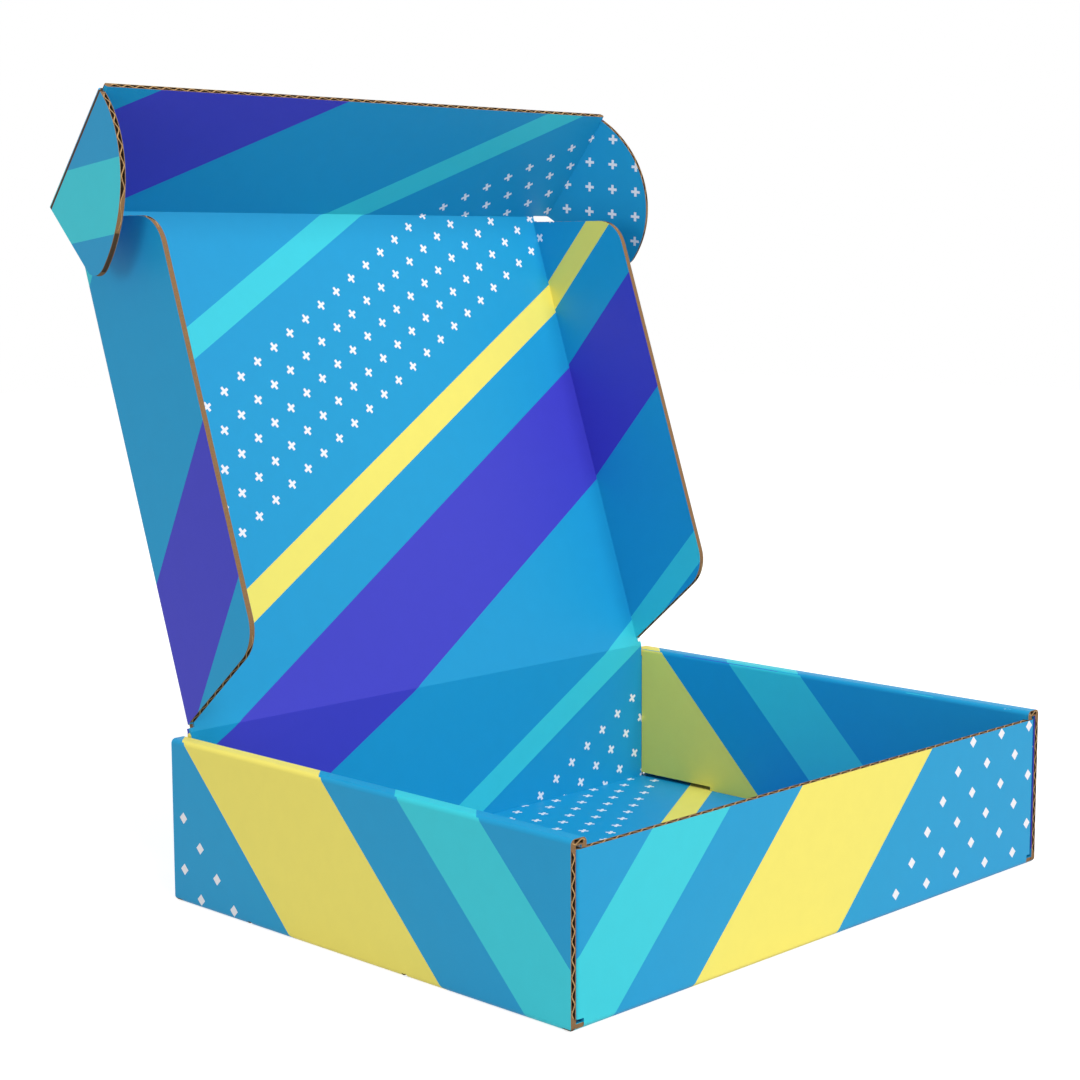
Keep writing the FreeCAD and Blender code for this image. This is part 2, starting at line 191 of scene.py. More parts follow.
def seen_from(tree, point, centre, turn, unit):
    """The point in a frame with its own centre, turn in degrees and unit of length."""
    own_frame = {"Location": (*centre, 0), "Rotation": (0, 0, math.radians(turn)), "Scale": (unit, unit, 1)}
    return add_node(tree, "Mapping", {"Vector": point, **own_frame}, vector_type="TEXTURE")


def cell_offset(tree, value):
    """How far a value lies from the middle of its cell: -0.5 to 0.5, one cell to each whole number."""
    return maths(tree, "SUBTRACT", maths(tree, "FRACT", value), 0.5)


def striped(tree, point, start, turn, pitch, thickness):
    """Straight stripes that run at a turn in degrees, one of them through the start."""
    _, y, _ = axes(tree, seen_from(tree, point, start, turn, pitch))
    off = maths(tree, "ABSOLUTE", cell_offset(tree, maths(tree, "ADD", y, 0.5)))
    return below(tree, off, thickness / pitch / 2)


def banded(tree, point, turn, row, period, first, last):
    """Bands at a turn in degrees that cover the rows from first to last, once in every period of rows."""
    middle = (first + last) / 2 * row
    angle = math.radians(turn)
    start = (-math.sin(angle) * middle, math.cos(angle) * middle)
    return striped(tree, point, start, turn, period * row, (last - first + 1) * row)


def blocks(tree, point, turn, row, length, width):
    """A square lattice of small blocks, length along the rows and width across them."""
    return combined(tree, "MULTIPLY", striped(tree, point, (0, 0), turn, row, width),
                    striped(tree, point, (0, 0), turn + 90, row, length))


def printed(tree, ground, layers):
    """Inks laid over each other: pairs of a mask and a colour, the last on top."""
    colour = ground
    for mask, tone in layers:
        colour = tinted(tree, mask, colour, tone)
    return colour


# %% [markdown]
# Inks of a four-colour press on coated white liner. They render about as they are written.

# %% Inks
BLUE = ink("#149ACD")
PURPLE = ink("#3E3EC0")
YELLOW = ink("#F4E66C")
TEAL = ink("#38CCDA")
WHITE = ink("#F3F1F4")


# %% [markdown]
# The inside print: bands that climb from left to right, with a field of small white crosses in the blue
# between them. A band covers whole rows of crosses, so no cross is cut by one.

# %% The sheet's inside face
def face_group(name):
    group = bpy.data.node_groups.new(name, "ShaderNodeTree")
    group.interface.new_socket("Sheet", in_out="INPUT", socket_type="NodeSocketVector")
    group.interface.new_socket("Colour", in_out="OUTPUT", socket_type="NodeSocketColor")
    sheet = group.nodes.new("NodeGroupInput").outputs[0]
    return group, add_node(group, "VectorMath", {0: sheet, 1: (1, 1, 0)}, operation="MULTIPLY")


def close_group(group, colour):
    group.links.new(colour, group.nodes.new("NodeGroupOutput").inputs[0])
    print(f"{group.name}: {len(group.nodes)} nodes")


# turn of the bands in degrees, height of a row in millimetres, rows in one repeat
INSIDE_TURN, INSIDE_ROW, INSIDE_PERIOD = 30, 12.5, 20
CROSS_LENGTH, CROSS_WIDTH = 4.6, 1.3
inside, at = face_group("inside face")
inside_rows = (inside, at, INSIDE_TURN, INSIDE_ROW)
crosses = combined(inside, "MAXIMUM", blocks(*inside_rows, CROSS_LENGTH, CROSS_WIDTH),
                   blocks(*inside_rows, CROSS_WIDTH, CROSS_LENGTH))
close_group(inside, printed(inside, BLUE, [
    (banded(*inside_rows, INSIDE_PERIOD, 1, 4), PURPLE),
    (banded(*inside_rows, INSIDE_PERIOD, 7, 7), YELLOW),
    (combined(inside, "MULTIPLY", crosses, banded(*inside_rows, INSIDE_PERIOD, 9, 13)), WHITE),
    (banded(*inside_rows, INSIDE_PERIOD, 15, 15), TEAL),
]))

# %% [markdown]
# The outside print is the same kind of repeat at a larger scale, slanting the other way, with small
# squares. It covers the walls' outer faces, and it shows inside the tray too, because the side walls are
# rolled over and carry it in with them.

# %% The sheet's outside face
OUTSIDE_TURN, OUTSIDE_ROW, OUTSIDE_PERIOD = 135, 15, 24
SQUARE = 3.4
outside, at = face_group("outside face")
outside_rows = (outside, at, OUTSIDE_TURN, OUTSIDE_ROW)
squares = blocks(*outside_rows, SQUARE, SQUARE)
close_group(outside, printed(outside, BLUE, [
    (banded(*outside_rows, OUTSIDE_PERIOD, 4, 6), PURPLE),
    (combined(outside, "MULTIPLY", squares, banded(*outside_rows, OUTSIDE_PERIOD, 8, 12)), WHITE),
    (banded(*outside_rows, OUTSIDE_PERIOD, 14, 17), YELLOW),
    (banded(*outside_rows, OUTSIDE_PERIOD, 20, 21), TEAL),
]))

# %% [markdown]
# Corrugated board is paper: two flat liners glued to a waved sheet. The outer sheets are coated and
# printed, with a satin varnish. The cuts show bare kraft where the blade went through paper, and the
# hollows between the flutes get a darker kraft, which is painted shade.
# One finish serves all the panels. It is told where it is on the sheet, and takes either print or bare kraft.

# %% Finish of the board
# bare kraft at the cuts, and a darker kraft that paints the shade in the flutes' hollows
KRAFT_CUT = ink("#8E6C48")
KRAFT_PAINTED_SHADE = ink("#4B3A28")
VARNISH_ROUGHNESS, KRAFT_ROUGHNESS = 0.5, 0.95


def board_finish(name, tree_reader):
    """Printed board.

    tree_reader returns the place on the sheet (u, v and height in the board) and masks of cuts and of the
    hollows that get painted shade.
    """
    material = bpy.data.materials.new(name)
    material.use_nodes = True
    tree = material.node_tree
    shader = tree.nodes["Principled BSDF"]
    sheet, is_cut, shaded_hollow = tree_reader(tree)
    _, _, height = axes(tree, sheet)
    inks = []
    for group in (inside, outside):
        node = tree.nodes.new("ShaderNodeGroup")
        node.node_tree = group
        tree.links.new(sheet, node.inputs[0])
        inks.append(node.outputs[0])
    face = tinted(tree, above(tree, height, 0), inks[1], inks[0])
    # ink lies a little unevenly over the paper's fibres, in patches a few millimetres across
    flat = add_node(tree, "VectorMath", {0: sheet, 1: (1, 1, 0)}, operation="MULTIPLY")
    patches = add_node(tree, "TexNoise", {"Vector": flat, "Scale": 0.12, "Detail": 4.0, "Roughness": 0.6})
    face = mottled(tree, face, patches, 0.985, 1.01)
    # kraft fibres lie mostly along the sheet
    fibres = add_node(tree, "TexNoise", {"Vector": sheet, "Scale": 2.2, "Detail": 5.0, "Roughness": 0.7})
    # the hollows get the darker kraft: painted shade
    kraft = mottled(tree, tinted(tree, shaded_hollow, KRAFT_CUT, KRAFT_PAINTED_SHADE), fibres, 0.72, 1.12)
    tree.links.new(tinted(tree, is_cut, face, kraft), shader.inputs["Base Color"])
    roughness = chosen(tree, is_cut, VARNISH_ROUGHNESS, KRAFT_ROUGHNESS)
    tree.links.new(roughness, shader.inputs["Roughness"])
    shader.inputs["Specular IOR Level"].default_value = 0.3
    # the liner sinks a few hundredths of a millimetre between the flutes that carry it
    u, _, _ = axes(tree, flat)
    wave = maths(tree, "SINE", maths(tree, "MULTIPLY", u, math.tau / FLUTE_PITCH))
    grain = add_node(tree, "TexNoise", {"Vector": flat, "Scale": 1.4, "Detail": 3.0})
    relief = maths(tree, "MULTIPLY_ADD", wave, 0.35, grain)
    bump = add_node(tree, "Bump", {"Height": relief, "Strength": 0.12, "Distance": 0.0001})
    tree.links.new(bump, shader.inputs["Normal"])
    print(f"{name}: {len(tree.nodes)} nodes")
    return material


def in_panel(tree, node):
    """A point in millimetres in a panel's own frame, and which way the face looks there, without sign."""
    matrix = panels[node]
    place = tree.nodes.new("ShaderNodeTexCoord")
    point = add_node(tree, "Mapping", {"Vector": place.outputs["Object"], "Location": matrix.translation,
                                       "Rotation": matrix.to_euler(), "Scale": (MM, MM, MM)},
                     vector_type="TEXTURE")
    facing = add_node(tree, "Mapping", {"Vector": place.outputs["Normal"], "Rotation": matrix.to_euler()},
                      vector_type="TEXTURE")
    return point, axes(tree, add_node(tree, "VectorMath", {0: facing}, operation="ABSOLUTE"))


EDGE_ON = 0.3


def cuts(tree, depth, across_board, along_flutes):
    """Masks of the cut edges and of the hollows in them.

    They come from the depth inside the board and from the face's direction: a face is edge-on to a
    direction when its normal has less than EDGE_ON of it. The 45 degree bevels beside a crease are
    crushed, not cut, and keep their print.
    """
    off_45 = maths(tree, "ABSOLUTE", maths(tree, "SUBTRACT", across_board, math.sqrt(0.5)))
    leaning = combined(tree, "MULTIPLY", below(tree, depth, BOARD / 2 - 0.25), above(tree, off_45, 0.03))
    square = combined(tree, "MULTIPLY", below(tree, depth, BOARD / 2 - 0.03),
                      below(tree, across_board, EDGE_ON))
    # the hollows of the open flutes, which the finish paints darker as their shade
    shaded_hollow = combined(tree, "MULTIPLY", below(tree, depth, BOARD / 2 - LINER + 0.02),
                         below(tree, along_flutes, EDGE_ON))
    return combined(tree, "MAXIMUM", leaning, square), shaded_hollow


def panel_reader(node, sheet_origin):
    """Where a flat panel's points lie on the sheet. sheet_origin is its frame's origin there."""

    def read(tree):
        point, facing = in_panel(tree, node)
        sheet = add_node(tree, "VectorMath", {0: point, 1: (*sheet_origin, 0)})
        depth = maths(tree, "ABSOLUTE", axes(tree, point)[2])
        return sheet, *cuts(tree, depth, facing[2], facing[1])

    return read


lid_points = [panels["lid"].inverted() @ vertex.co for vertex in frame["nodes"]["lid"].data.vertices]
flap_reach = max(point.z for point in lid_points) / MM


def lid_reader(tree):
    """The lid, whose side flaps stand up from it: on them, height is distance across the sheet."""
    point, facing = in_panel(tree, "lid")
    x, y, z = axes(tree, point)
    beyond = maths(tree, "SUBTRACT", maths(tree, "ABSOLUTE", x), FLAP_LINE)
    over_inner_face = above(tree, z, BOARD / 2 + 0.05)
    on_flap = combined(tree, "MAXIMUM", over_inner_face,
                       combined(tree, "MULTIPLY", above(tree, facing[0], 0.7), above(tree, beyond, 0)))
    up_flap = maths(tree, "MULTIPLY", maths(tree, "ADD", z, FLAP_LINE), maths(tree, "SIGN", x))
    u = chosen(tree, on_flap, x, up_flap)
    height = chosen(tree, on_flap, z, maths(tree, "MULTIPLY", beyond, -1.0))
    across_board = chosen(tree, on_flap, facing[2], facing[0])
    is_cut, shaded_hollow = cuts(tree, maths(tree, "ABSOLUTE", height), across_board, facing[1])
    # only the flaps' ends show open flutes, their long edges were cut along the flutes; their hollows get
    # painted shade
    open_ends = combined(tree, "MULTIPLY", over_inner_face, below(tree, z, flap_reach - 1.2))
    return (add_node(tree, "CombineXYZ", {0: u, 1: y, 2: height}), is_cut,
            combined(tree, "MULTIPLY", shaded_hollow, open_ends))


readers = {
    "lid": lid_reader,
    "tuck_panel": panel_reader("tuck_panel", (0, lid_length)),
    "tuck_left_ear": panel_reader("tuck_left_ear", (-ear_line, lid_length)),
    "tuck_right_ear": panel_reader("tuck_right_ear", (ear_line, lid_length)),
}
for node, reader in readers.items():
    mesh = frame["nodes"][node].data
    mesh.materials.clear()
    mesh.materials.append(board_finish("printed board, " + node, reader))

# %% [markdown]
# The tray is one solid with many folds, so its place on the sheet is worked out from where a point is
# and which way it faces. The side walls run up, over the flat top and down inside, still the outside print.

# %% Finish of the tray
# the base's middle line on the sheet
BASE_MIDDLE = -178.3
# flutes are open 4 mm deep at the cuts, and their mask reaches a little deeper
FLUTE_OPENING = 4.2
# a point no deeper than this under an outermost plane lies on the outside face
SKIN = 0.6
# a face looks along an axis when its normal has more than this of it
FACES_AXIS = 0.9


def tray_reader(tree):
    """The tray, by where a point is in the box and which way its face looks."""
    place = tree.nodes.new("ShaderNodeTexCoord")
    point = add_node(tree, "VectorMath", {0: place.outputs["Object"], "Scale": 1 / MM}, operation="SCALE")
    x, y, z = axes(tree, point)
    nx, ny, nz = (maths(tree, "ABSOLUTE", way) for way in axes(tree, place.outputs["Normal"]))
    side = maths(tree, "SIGN", x)
    out_x = maths(tree, "ABSOLUTE", x)
    out_y = maths(tree, "ABSOLUTE", y)
    faces_end = combined(tree, "MULTIPLY", above(tree, ny, 0.5), below(tree, nz, 0.72))
    faces_side = above(tree, nx, 0.72)
    roll_inside = TRAY_HALF_WIDTH - ROLL_WIDTH
    roll_middle = TRAY_HALF_WIDTH - ROLL_WIDTH / 2

    def shifted(value, factor, offset):
        return maths(tree, "MULTIPLY_ADD", value, factor, offset)

    def every(*masks):
        return combined(tree, "MULTIPLY", *masks)

    # distance across the sheet from its middle: base, outer panel, top strip, rolled-in panel
    strip = shifted(out_x, -1, 2 * TRAY_HALF_WIDTH + SIDE_HEIGHT)
    rolled_in = shifted(z, -1, TRAY_HALF_WIDTH + 2 * SIDE_HEIGHT + ROLL_WIDTH)
    wall = chosen(tree, below(tree, out_x, TRAY_HALF_WIDTH - 4), shifted(z, 1, TRAY_HALF_WIDTH), rolled_in)
    level = chosen(tree, above(tree, z, SIDE_HEIGHT * 0.6), out_x, strip)
    across = maths(tree, "MULTIPLY", chosen(tree, faces_side, level, wall), side)
    u = chosen(tree, faces_end, across, x)
    # distance along the sheet: base, and the front and rear walls that stand up from it
    front = shifted(z, -1, BASE_MIDDLE - TRAY_HALF_DEPTH)
    rear = shifted(z, 1, -pivot("lid_crease").z / MM)
    v = chosen(tree, faces_end, shifted(y, 1, BASE_MIDDLE), chosen(tree, above(tree, y, 0), front, rear))

    on_top = above(tree, z, SIDE_HEIGHT - SKIN)
    outer_face = combined(
        tree, "MAXIMUM",
        above(tree, out_x, TRAY_HALF_WIDTH - SKIN),
        above(tree, out_y, TRAY_HALF_DEPTH - SKIN),
        below(tree, z, SKIN),
        every(on_top, below(tree, out_y, TRAY_HALF_DEPTH - 3)),
        every(on_top, above(tree, out_x, roll_inside - 0.2)),
        every(faces_side, below(tree, out_x, roll_inside + 0.4)),
    )
    height = shifted(outer_face, -BOARD, BOARD / 2)
    sheet = add_node(tree, "CombineXYZ", {0: u, 1: v, 2: height})

    # cuts: ends of the rolled walls, top edge of the front wall, the slots and the tabs
    looks_x, looks_y, looks_z = (above(tree, way, FACES_AXIS) for way in (nx, ny, nz))
    wall_or_strip = combined(
        tree, "MAXIMUM", above(tree, out_x, TRAY_HALF_WIDTH - BOARD - 0.08),
        every(above(tree, z, FRONT_HEIGHT + 0.15), above(tree, out_x, roll_inside - 0.1)))
    roll_end = every(looks_y, above(tree, out_y, TRAY_HALF_DEPTH - 0.45), wall_or_strip)
    level_cut = every(looks_z, within(tree, z, BOARD + 0.2, SIDE_HEIGHT - BOARD - 0.2))
    inner_cut = every(looks_y, below(tree, out_y, TRAY_HALF_DEPTH - BOARD - 0.1))
    slot_wall = every(looks_x, within(tree, z, 0.1, BOARD - 0.1), below(tree, out_x, TRAY_HALF_WIDTH - 1))
    foot_cut = every(looks_y, within(tree, z, 0.05, BOARD - 0.05), above(tree, out_x, END_WALL_HALF + 0.02),
                     above(tree, out_y, TRAY_HALF_DEPTH - 2))
    # open flutes, between the liners, whose hollows get painted shade
    near_end = above(tree, out_y, TRAY_HALF_DEPTH - FLUTE_OPENING)
    wall_flutes = every(within(tree, out_x, TRAY_HALF_WIDTH - BOARD + 0.25, TRAY_HALF_WIDTH - 0.25), near_end,
                        below(tree, z, SIDE_HEIGHT - BOARD + 0.1))
    strip_flutes = every(within(tree, z, SIDE_HEIGHT - 2.2, SIDE_HEIGHT - 0.3), near_end,
                         within(tree, out_x, roll_middle - 2.15, roll_middle + 2.15))
    top_flutes = every(within(tree, y, 0.25 - TRAY_HALF_DEPTH, BOARD - 0.25 - TRAY_HALF_DEPTH),
                       within(tree, z, FRONT_HEIGHT - FLUTE_OPENING, FRONT_HEIGHT + 0.2),
                       below(tree, out_x, END_WALL_HALF + 0.1))
    flutes = combined(tree, "MAXIMUM", wall_flutes, strip_flutes, top_flutes)
    is_cut = combined(tree, "MAXIMUM", roll_end, level_cut, inner_cut, slot_wall, foot_cut, flutes)
    # the flutes off the blade's faces are the hollows that get the darker kraft of painted shade
    on_blade = combined(tree, "MAXIMUM", every(looks_y, above(tree, out_y, TRAY_HALF_DEPTH - 0.5)),
                        every(looks_z, above(tree, z, FRONT_HEIGHT - 0.2)))
    return sheet, is_cut, every(flutes, below(tree, on_blade, 0.5))


tray = frame["nodes"]["tray"].data
tray.materials.clear()
tray.materials.append(board_finish("printed board, tray", tray_reader))

# %% [markdown]
# Where the lid, the tuck panel or an ear turns, the board is crushed along a line and bends: round on the
# outside and pinched on the inside. Each crease is a bar of board, laid flat over the gap between the two
# solids, folded at its middle row and rounded there. The bars of the lid and the tuck panel stay where
# they are placed, as the box stands. The bars of the ears ride on the tuck panel.

# %% Creases on the hinges
# reach of a bar on each side of its crease, and how far its faces stand out of the board's
COVER, PROUD = 1.45, 0.015
# less than this counts as nothing, in metres
NIL = 0.1 * MM


def deselect_all():
    for item in bpy.context.selected_objects:
        item.select_set(False)


def chosen_vertices(piece, wanted):
    """Selects the vertices of the piece in edit mode that pass the test, and nothing else."""
    bpy.ops.mesh.select_mode(type="VERT")
    bpy.ops.mesh.select_all(action="DESELECT")
    bpy.ops.object.mode_set(mode="OBJECT")
    for vertex in piece.data.vertices:
        vertex.select = wanted(vertex.co)
    bpy.ops.object.mode_set(mode="EDIT")
    bpy.ops.mesh.select_mode(type="VERT")


def crease(name, joint, ahead, up, start, end, fold, sheet_at):
    """A bent bar of board on a joint's line, from start to end in mm, folded up by so many degrees."""
    deselect_all()
    bpy.ops.mesh.primitive_cube_add(size=1)
    piece = bpy.context.object
    piece.name = name
    half = BOARD / 2 + PROUD
    bpy.ops.object.mode_set(mode="EDIT")
    bpy.ops.transform.resize(value=((end - start) * MM, 2 * COVER * MM, 2 * half * MM))
    bpy.ops.transform.translate(value=((end + start) / 2 * MM, 0, 0))
    bpy.ops.mesh.select_all(action="SELECT")
    bpy.ops.mesh.bisect(plane_co=(0, 0, 0), plane_no=(0, 1, 0))
    # the rotate operator turns clockwise about X, so it is given the fold with its sign changed
    tilt = math.radians(fold)
    chosen_vertices(piece, lambda co: co.y > NIL)
    bpy.ops.transform.rotate(value=-tilt, orient_axis="X", orient_type="GLOBAL", center_override=(0, 0, 0))
    chosen_vertices(piece, lambda co: abs(co.y) < NIL and abs(abs(co.z) - half * MM) < NIL)
    mitre = 1 / math.cos(tilt / 2)
    bpy.ops.transform.rotate(value=-tilt / 2, orient_axis="X", orient_type="GLOBAL",
                             center_override=(0, 0, 0))
    bpy.ops.transform.resize(value=(1, mitre, mitre), center_override=(0, 0, 0))
    middle = Vector((0, math.cos(tilt / 2), math.sin(tilt / 2)))
    outward = Vector((0, math.sin(abs(tilt) / 2), -math.copysign(math.cos(tilt / 2), tilt)))
    chosen_vertices(piece, lambda co: abs(co.dot(middle)) < NIL and co.dot(outward) > 0)
    bpy.ops.mesh.bevel(offset=half * abs(math.tan(tilt / 2)) * MM, segments=6, affect="EDGES")
    bpy.ops.object.mode_set(mode="OBJECT")
    reach = COVER * math.cos(tilt / 2) - half * math.sin(abs(tilt) / 2)
    places = piece.data.attributes.new("blank", "FLOAT_VECTOR", "POINT")
    inner = math.copysign(BOARD / 2, tilt)
    for vertex, sheet_point in zip(piece.data.vertices, places.data):
        share = max(-1.0, min(1.0, vertex.co.dot(middle) / MM / reach))
        level = -inner if vertex.co.dot(outward) > 0 else inner
        sheet_point.vector = (*sheet_at(vertex.co.x / MM, share * COVER), level)
    placed = Matrix((ahead.cross(up), ahead, up)).transposed().to_4x4()
    placed.translation = pivot(joint)
    piece.data.transform(placed)
    # a blend stretched the left ear's bar at one pose, so the ears' bars ride on the tuck panel unbent
    if "ear" in joint:
        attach(piece, joints[joint]["parent"])
    else:
        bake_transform(piece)
    print(f"{name}: {end - start:.0f} mm long, folded {fold:.0f} degrees, {len(piece.data.polygons)} faces")
    return piece


def crease_reader(tree):
    blank = add_node(tree, "Attribute", output=1, attribute_name="blank")
    depth = add_node(tree, "Math", {0: axes(tree, blank)[2]}, operation="ABSOLUTE")
    is_cut = below(tree, depth, BOARD / 2 - 0.1)
    # between the liners the bar gets the darker kraft of painted shade
    return blank, is_cut, below(tree, depth, BOARD / 2 - LINER)


def lid_crease_reader(tree):
    """The lid's crease ends where the side flaps fold up, so print goes round its ends."""
    blank, _, _ = crease_reader(tree)
    return blank, 0.0, 0.0


lid_up, tuck_up = panels["lid"].col[2].xyz, panels["tuck_panel"].col[2].xyz
lid_fold = 90 + joints["lid_crease"]["range_deg"][0]
# the lid's bar ends past the flaps' line, the tuck panel's short of it, and an ear's near the panel's edges
lid_end, tuck_end = FLAP_LINE + 1.2, FLAP_LINE - 0.4
EAR_START, EAR_END = 1, 60
creases = [
    crease("crease_lid", "lid_crease", Vector((0, 0, 1)), Vector((0, -1, 0)), -lid_end, lid_end,
           lid_fold, lambda along, ahead: (along, ahead)),
    crease("crease_tuck", "tuck_crease", lid_away, lid_up, -tuck_end, tuck_end,
           fold_at_rest("tuck_crease"), lambda along, ahead: (along, lid_length + ahead)),
    crease("crease_left_ear", "left_ear_crease", -RIGHT, tuck_up, EAR_START, EAR_END,
           fold_at_rest("left_ear_crease"), lambda along, ahead: (-ear_line - ahead, lid_length + along)),
    crease("crease_right_ear", "right_ear_crease", RIGHT, tuck_up, -EAR_END, -EAR_START,
           fold_at_rest("right_ear_crease"), lambda along, ahead: (ear_line + ahead, lid_length - along)),
]
crease_finish = board_finish("printed board, creases", crease_reader)
lid_crease_finish = board_finish("printed board, lid crease", lid_crease_reader)
for piece, finish in zip(creases, (lid_crease_finish, crease_finish, crease_finish, crease_finish)):
    piece.data.materials.append(finish)

# %% [markdown]
# At a cut edge the flutes are open, and the paper between the liners shows as a wave.
# It is a smooth sine on real board, so a strip of waved paper is laid over the solid's straight-sided one:
# a grid along the cut, its points lifted to the wave, given the paper's thickness with Solidify.
# Its outer edge follows the cut, which is found by casting rays at the board's liner from outside.

# %% Waved paper at the cut edges
WAVE_HEIGHT = (BOARD - WAVED_PAPER) / 2 - LINER
# how deep a strip reaches into its cut, and how far it stands out of it
FLUTE_SIGHT, STRIP_OUT = 4.0, 0.05
STEPS_PER_WAVE = 12
# rays start this far outside the cut
FAR_OUT = 300


def board_tree(node):
    mesh = frame["nodes"][node].data
    return BVHTree.FromPolygons([v.co for v in mesh.vertices], [p.vertices for p in mesh.polygons])


def waved_paper(name, node, place, run, body):
    """A strip of waved paper on a cut edge.

    place is a frame in millimetres whose x runs along the edge from the first flute's start, whose y runs
    out of the cut and whose z crosses the board from its mid-thickness. run is the edge's length.
    """
    board = board_tree(node)

    def cut_at(along, across):
        direction = (place.to_3x3() @ Vector((0, -1, 0))).normalized()
        hit = board.ray_cast(place @ Vector((along, FAR_OUT, across)) * MM, direction)[0]
        return (place.inverted() @ (hit / MM)).y

    count = int(run / FLUTE_PITCH)
    start = (run - count * FLUTE_PITCH) / 2
    first_turn = start + FLUTE_PITCH / 4
    liner = BOARD / 2 - LINER / 2
    side = 1 if cut_at(first_turn, liner) - cut_at(first_turn, WAVE_HEIGHT) < 1 else -1
    deselect_all()
    bpy.ops.mesh.primitive_grid_add(x_subdivisions=count * STEPS_PER_WAVE, y_subdivisions=2, size=1)
    strip = bpy.context.object
    strip.name = name
    for vertex in strip.data.vertices:
        along = start + (vertex.co.x + 0.5) * count * FLUTE_PITCH
        wave = side * WAVE_HEIGHT * math.cos(math.tau * (along - first_turn) / FLUTE_PITCH)
        outward = cut_at(along, liner) + STRIP_OUT - (0.5 - vertex.co.y) * FLUTE_SIGHT
        vertex.co = Vector((along, outward, wave))
    strip.data.transform(place)
    strip.data.transform(Matrix.Scale(MM, 4))
    thick = strip.modifiers.new("paper", "SOLIDIFY")
    thick.thickness = WAVED_PAPER * MM
    thick.offset = 0
    bpy.ops.object.modifier_apply(modifier=thick.name)
    bpy.ops.object.mode_set(mode="EDIT")
    bpy.ops.mesh.select_all(action="SELECT")
    bpy.ops.mesh.normals_make_consistent(inside=False)
    bpy.ops.object.mode_set(mode="OBJECT")
    bpy.ops.object.shade_smooth_by_angle(angle=math.radians(50))
    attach(strip, body)
    strip.data.materials.append(waved_finish)
    print(f"{name}: {count} waves, first turn on side {side}, {len(strip.data.polygons)} faces")


def edge_frame(origin, along, out_of_cut, carrier=None):
    """A frame in millimetres for one cut edge, given in the tray's frame or in a panel's."""
    matrix = Matrix((along, out_of_cut, Vector(along).cross(Vector(out_of_cut)))).transposed().to_4x4()
    matrix.translation = Vector(origin)
    if carrier is None:
        return matrix
    panel = panels[carrier].copy()
    panel.translation = panel.translation / MM
    return panel @ matrix


WAVED_KRAFT = ink("#BE9868")
waved_finish = bpy.data.materials.new("waved kraft paper")
waved_finish.use_nodes = True
tree = waved_finish.node_tree
shader = tree.nodes["Principled BSDF"]
place_node = tree.nodes.new("ShaderNodeTexCoord")
fibres = add_node(tree, "TexNoise", {"Vector": place_node.outputs["Object"], "Scale": 900.0, "Detail": 4.0})
tree.links.new(mottled(tree, WAVED_KRAFT[:3], fibres, 0.75, 1.1), shader.inputs["Base Color"])
shader.inputs["Roughness"].default_value = KRAFT_ROUGHNESS
shader.inputs["Specular IOR Level"].default_value = 0.1

X, Y, Z = RIGHT, Vector((0, 1, 0)), Vector((0, 0, 1))
# a panel's flutes start this far from its crease
CREASE_GAP = 1.4
FLAP_EDGE, EAR_EDGE = 52, 47.5
waved_paper("waves_front_top", "tray", edge_frame((-END_WALL_HALF, BOARD / 2 - TRAY_HALF_DEPTH, 0), X, Z),
            2 * END_WALL_HALF, "tray")
for word, side in (("left", -1), ("right", 1)):
    for end, way in (("front", -1), ("rear", 1)):
        wall_x = side * (TRAY_HALF_WIDTH - BOARD / 2)
        waved_paper(f"waves_{word}_wall_{end}", "tray", edge_frame((wall_x, 0, BOARD), Z, Y * way),
                    SIDE_HEIGHT - 2 * BOARD, "tray")
        strip_x = side * (TRAY_HALF_WIDTH - ROLL_WIDTH / 2) + way * FLUTE_PITCH / 2
        waved_paper(f"waves_{word}_strip_{end}", "tray",
                    edge_frame((strip_x, 0, SIDE_HEIGHT - BOARD / 2), X * -way, Y * way), FLUTE_PITCH, "tray")
tuck_half = ear_line - CREASE_GAP
waved_paper("waves_tuck", "tuck_panel", edge_frame((-tuck_half, 0, 0), X, Y, "tuck_panel"),
            2 * tuck_half, "tuck")
for word, side in (("left", -1), ("right", 1)):
    for end, way in (("tuck", 1), ("hinge", -1)):
        flap_foot = (side * FLAP_LINE, lid_length / 2, CREASE_GAP)
        waved_paper(f"waves_{word}_flap_{end}", "lid",
                    edge_frame(flap_foot, Z, Y * way, "lid"), FLAP_EDGE, "lid")
        ear = f"tuck_{word}_ear"
        waved_paper(f"waves_{word}_ear_{end}", ear,
                    edge_frame((side * CREASE_GAP, 30, 0), X * side, Y * way, ear), EAR_EDGE, f"{word}_ear")

# %% [markdown]
# The camera stands where the photographer's did, worked out from the tray's corners, with a long lens.

# %% Camera
EYE = Vector((-0.6568, -0.5972, 0.2608))
LOOK = Vector((0.70914, 0.69282, -0.13074))
ROLL = math.radians(-0.172)
camera = bpy.data.objects.new("camera", bpy.data.cameras.new("camera"))
bpy.context.scene.collection.objects.link(camera)
camera.data.lens = 72.68
camera.data.sensor_width = 36
camera.data.clip_start = 0.01
camera.rotation_mode = "QUATERNION"
camera.rotation_quaternion = LOOK.to_track_quat("-Z", "Y") @ Quaternion((0, 0, 1), ROLL)
camera.location = EYE
bpy.context.scene.camera = camera


PICTURE_WIDTH = 1080


def pixel(point):
    """Where a point lands in a square picture as wide as the photo's."""
    seen = camera.matrix_world.inverted() @ Vector(point)
    focal = camera.data.lens / camera.data.sensor_width * PICTURE_WIDTH
    return PICTURE_WIDTH / 2 - focal * seen.x / seen.z, PICTURE_WIDTH / 2 + focal * seen.y / seen.z


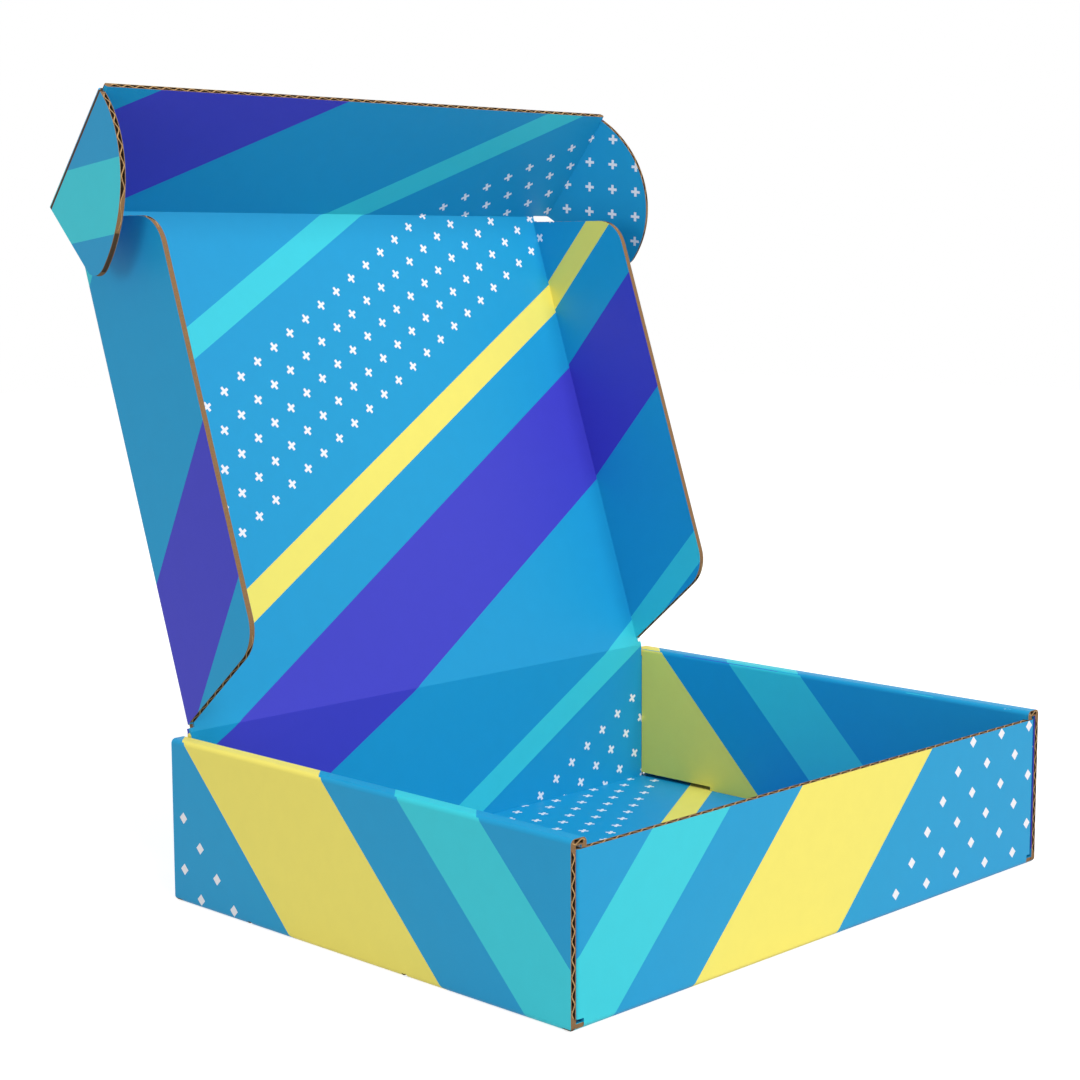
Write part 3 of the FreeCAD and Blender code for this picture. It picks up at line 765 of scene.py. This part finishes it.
bpy.context.view_layer.update()
near_corner = Vector((-TRAY_HALF_WIDTH, -TRAY_HALF_DEPTH, 0)) * MM
lid_corner = pivot("lid_crease") + RIGHT * FLAP_LINE * MM
print("near bottom corner lands at", [round(c, 1) for c in pixel(near_corner)])
print("lid's right end lands at", [round(c, 1) for c in pixel(lid_corner)])

# %% [markdown]
# A product photograph on white: one large soft lamp in front and above, a weak low one from the left,
# and an even white world that fills the shadows. The floor is pale and keeps the box's soft shadow.

# %% Floor and lamps
deselect_all()
# a tenth of a millimetre under the base, so that the two faces don't share one plane
bpy.ops.mesh.primitive_plane_add(size=6, location=(0, 0, -0.1 * MM))
floor = bpy.context.object
floor.name = "floor"
floor_finish = bpy.data.materials.new("white studio paper")
floor_finish.use_nodes = True
tree = floor_finish.node_tree
paper = tree.nodes["Principled BSDF"]
paper.inputs["Base Color"].default_value = ink("#C4C4C4")
paper.inputs["Roughness"].default_value = 0.9
paper.inputs["Specular IOR Level"].default_value = 0.0
rays = tree.nodes.new("ShaderNodeLightPath")
glow = add_node(tree, "Emission", {"Color": (1, 1, 1, 1), "Strength": 0.8})
seen = combined(tree, "MAXIMUM", rays.outputs["Is Camera Ray"], rays.outputs["Is Glossy Ray"])
lift = add_node(tree, "MixShader", {0: seen, 2: glow})
both = add_node(tree, "AddShader", {0: paper.outputs[0], 1: lift})
tree.links.new(both, tree.nodes["Material Output"].inputs[0])
floor.data.materials.append(floor_finish)

world = bpy.data.worlds.new("white studio")
bpy.context.scene.world = world
world.use_nodes = True
tree = world.node_tree
rays = tree.nodes.new("ShaderNodeLightPath")
seen = combined(tree, "MAXIMUM", rays.outputs["Is Camera Ray"], rays.outputs["Is Glossy Ray"],
                rays.outputs["Is Transmission Ray"])
strength = add_node(tree, "MapRange", {"Value": seen, "To Min": 0.43, "To Max": 1.0})
tree.links.new(strength, tree.nodes["Background"].inputs["Strength"])
tree.nodes["Background"].inputs["Color"].default_value = (1, 1, 1, 1)


def soft_lamp(name, place, size, watts):
    lamp = bpy.data.objects.new(name, bpy.data.lights.new(name, "AREA"))
    bpy.context.scene.collection.objects.link(lamp)
    lamp.location = place
    lamp.rotation_euler = (Vector((0, 0, 0.1)) - Vector(place)).to_track_quat("-Z", "Y").to_euler()
    lamp.data.size = size
    lamp.data.energy = watts


soft_lamp("front soft box", (-0.15, -1.75, 2.15), 1.6, 62)
soft_lamp("left fill", (-2.4, -0.5, 0.35), 1.0, 14)
bpy.context.scene.view_settings.view_transform = "Standard"
